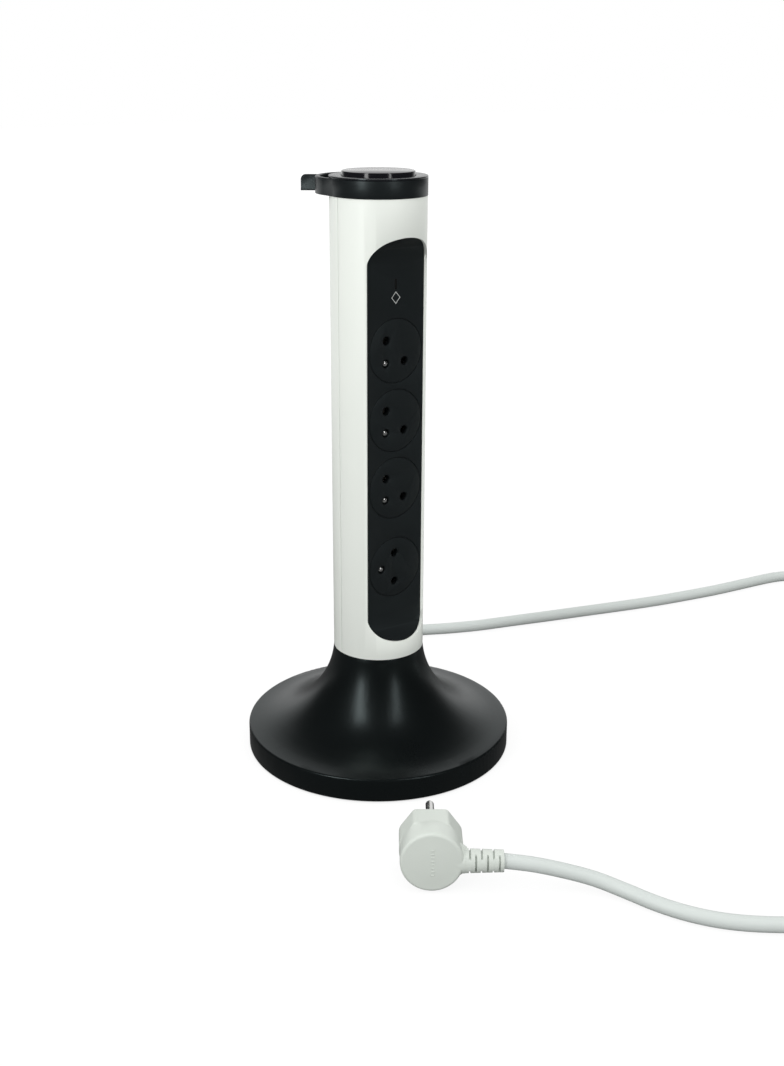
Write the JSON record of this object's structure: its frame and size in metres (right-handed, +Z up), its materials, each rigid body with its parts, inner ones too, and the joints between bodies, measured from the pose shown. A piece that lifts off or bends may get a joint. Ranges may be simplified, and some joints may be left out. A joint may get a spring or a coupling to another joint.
{
  "type": "upright power strip",
  "caption": "Upright round power strip on a wide flared base, with sprung socket discs in a recessed face, a push button on top, and a mains cord with an angled plug.",
  "frame": {"origin": "on the column's axis, in the plane of the feet's undersides", "axes": "+Z up along the column, sockets facing -Y, cord inlet at +Y"},
  "size_m": [0.5745, 0.4547, 0.3694],
  "materials": {
    "base_black": "satin",
    "plate_black": "fine texture",
    "ballast_steel": "plain sheet",
    "foot_rubber": "matt",
    "screw_zinc": "zinc plated",
    "shell_pearl": "pearl, satin",
    "panel_black": "satin",
    "disc_black": "satin",
    "spring_steel": "drawn wire",
    "pin_nickel": "nickel plated",
    "carrier_cream": "moulded",
    "contact_brass": "stamped",
    "board_green": "solder mask",
    "varistor_blue": "epoxy coat",
    "indicator_clear": "clear, frosted",
    "switch_black": "moulded",
    "collar_black": "gloss",
    "cap_gloss": "high gloss",
    "button_gloss": "high gloss",
    "cord_white": "smooth PVC",
    "wire_brown": "PVC",
    "wire_black": "PVC",
    "wire_blue": "PVC",
    "wire_green": "PVC",
    "plug_white": "satin",
    "plug_grey": "moulded"
  },
  "bodies": {
    "tower": {"base_shell": "base_black", "base_plate": "plate_black", "ballast_disc": "ballast_steel", "rubber_feet": "foot_rubber", "base_screws": "screw_zinc", "column_screws": "screw_zinc", "front_shell": "shell_pearl", "rear_shell": "shell_pearl", "shell_screws": "screw_zinc", "face_panel": "panel_black", "disc_spring_1": "spring_steel", "disc_spring_2": "spring_steel", "disc_spring_3": "spring_steel", "disc_spring_4": "spring_steel", "earth_pins": "pin_nickel", "contact_carrier": "carrier_cream", "carrier_screws": "screw_zinc", "live_bar": "contact_brass", "neutral_bar": "contact_brass", "earth_bar": "contact_brass", "circuit_board": "board_green", "board_screws": "screw_zinc", "surge_varistors": "varistor_blue", "indicator_light": "indicator_clear", "power_switch": "switch_black", "top_collar": "collar_black", "collar_screws": "screw_zinc", "cap_ring": "cap_gloss", "button_spring": "spring_steel", "cord_gland": "cord_white", "cord_inlet": "cord_white", "live_wire": "wire_brown", "switched_wire": "wire_black", "neutral_wire": "wire_blue", "earth_wire": "wire_green", "cord_lead": "cord_white", "cord_coil": "cord_white", "cord_tail": "cord_white", "plug_back": "plug_white", "plug_body": "plug_white", "plug_face": "plug_grey", "plug_pins": "pin_nickel", "plug_earth_socket": "contact_brass", "plug_relief": "plug_white"},
    "push_button": {"push_button": "button_gloss"},
    "disc_1": {"socket_disc_1": "disc_black"},
    "disc_2": {"socket_disc_2": "disc_black"},
    "disc_3": {"socket_disc_3": "disc_black"},
    "disc_4": {"socket_disc_4": "disc_black"}
  },
  "joints": [
    {"name": "disc_1_slide", "type": "slide", "parent": "tower", "child": "disc_1", "axis": [0, 1, 0], "range_m": [0, 0.0125], "stiffness_N_per_m": 220, "springref_m": -0.004, "deforming": ["disc_spring_1"]},
    {"name": "disc_2_slide", "type": "slide", "parent": "tower", "child": "disc_2", "axis": [0, 1, 0], "range_m": [0, 0.0125], "stiffness_N_per_m": 220, "springref_m": -0.004, "deforming": ["disc_spring_2"]},
    {"name": "disc_3_slide", "type": "slide", "parent": "tower", "child": "disc_3", "axis": [0, 1, 0], "range_m": [0, 0.0125], "stiffness_N_per_m": 220, "springref_m": -0.004, "deforming": ["disc_spring_3"]},
    {"name": "disc_4_slide", "type": "slide", "parent": "tower", "child": "disc_4", "axis": [0, 1, 0], "range_m": [0, 0.0125], "stiffness_N_per_m": 220, "springref_m": -0.004, "deforming": ["disc_spring_4"]},
    {"name": "button_press", "type": "slide", "parent": "tower", "child": "push_button", "axis": [0, 0, -1], "range_m": [0, 0.002], "stiffness_N_per_m": 600, "springref_m": -0.003, "deforming": ["button_spring"]}
  ]
}
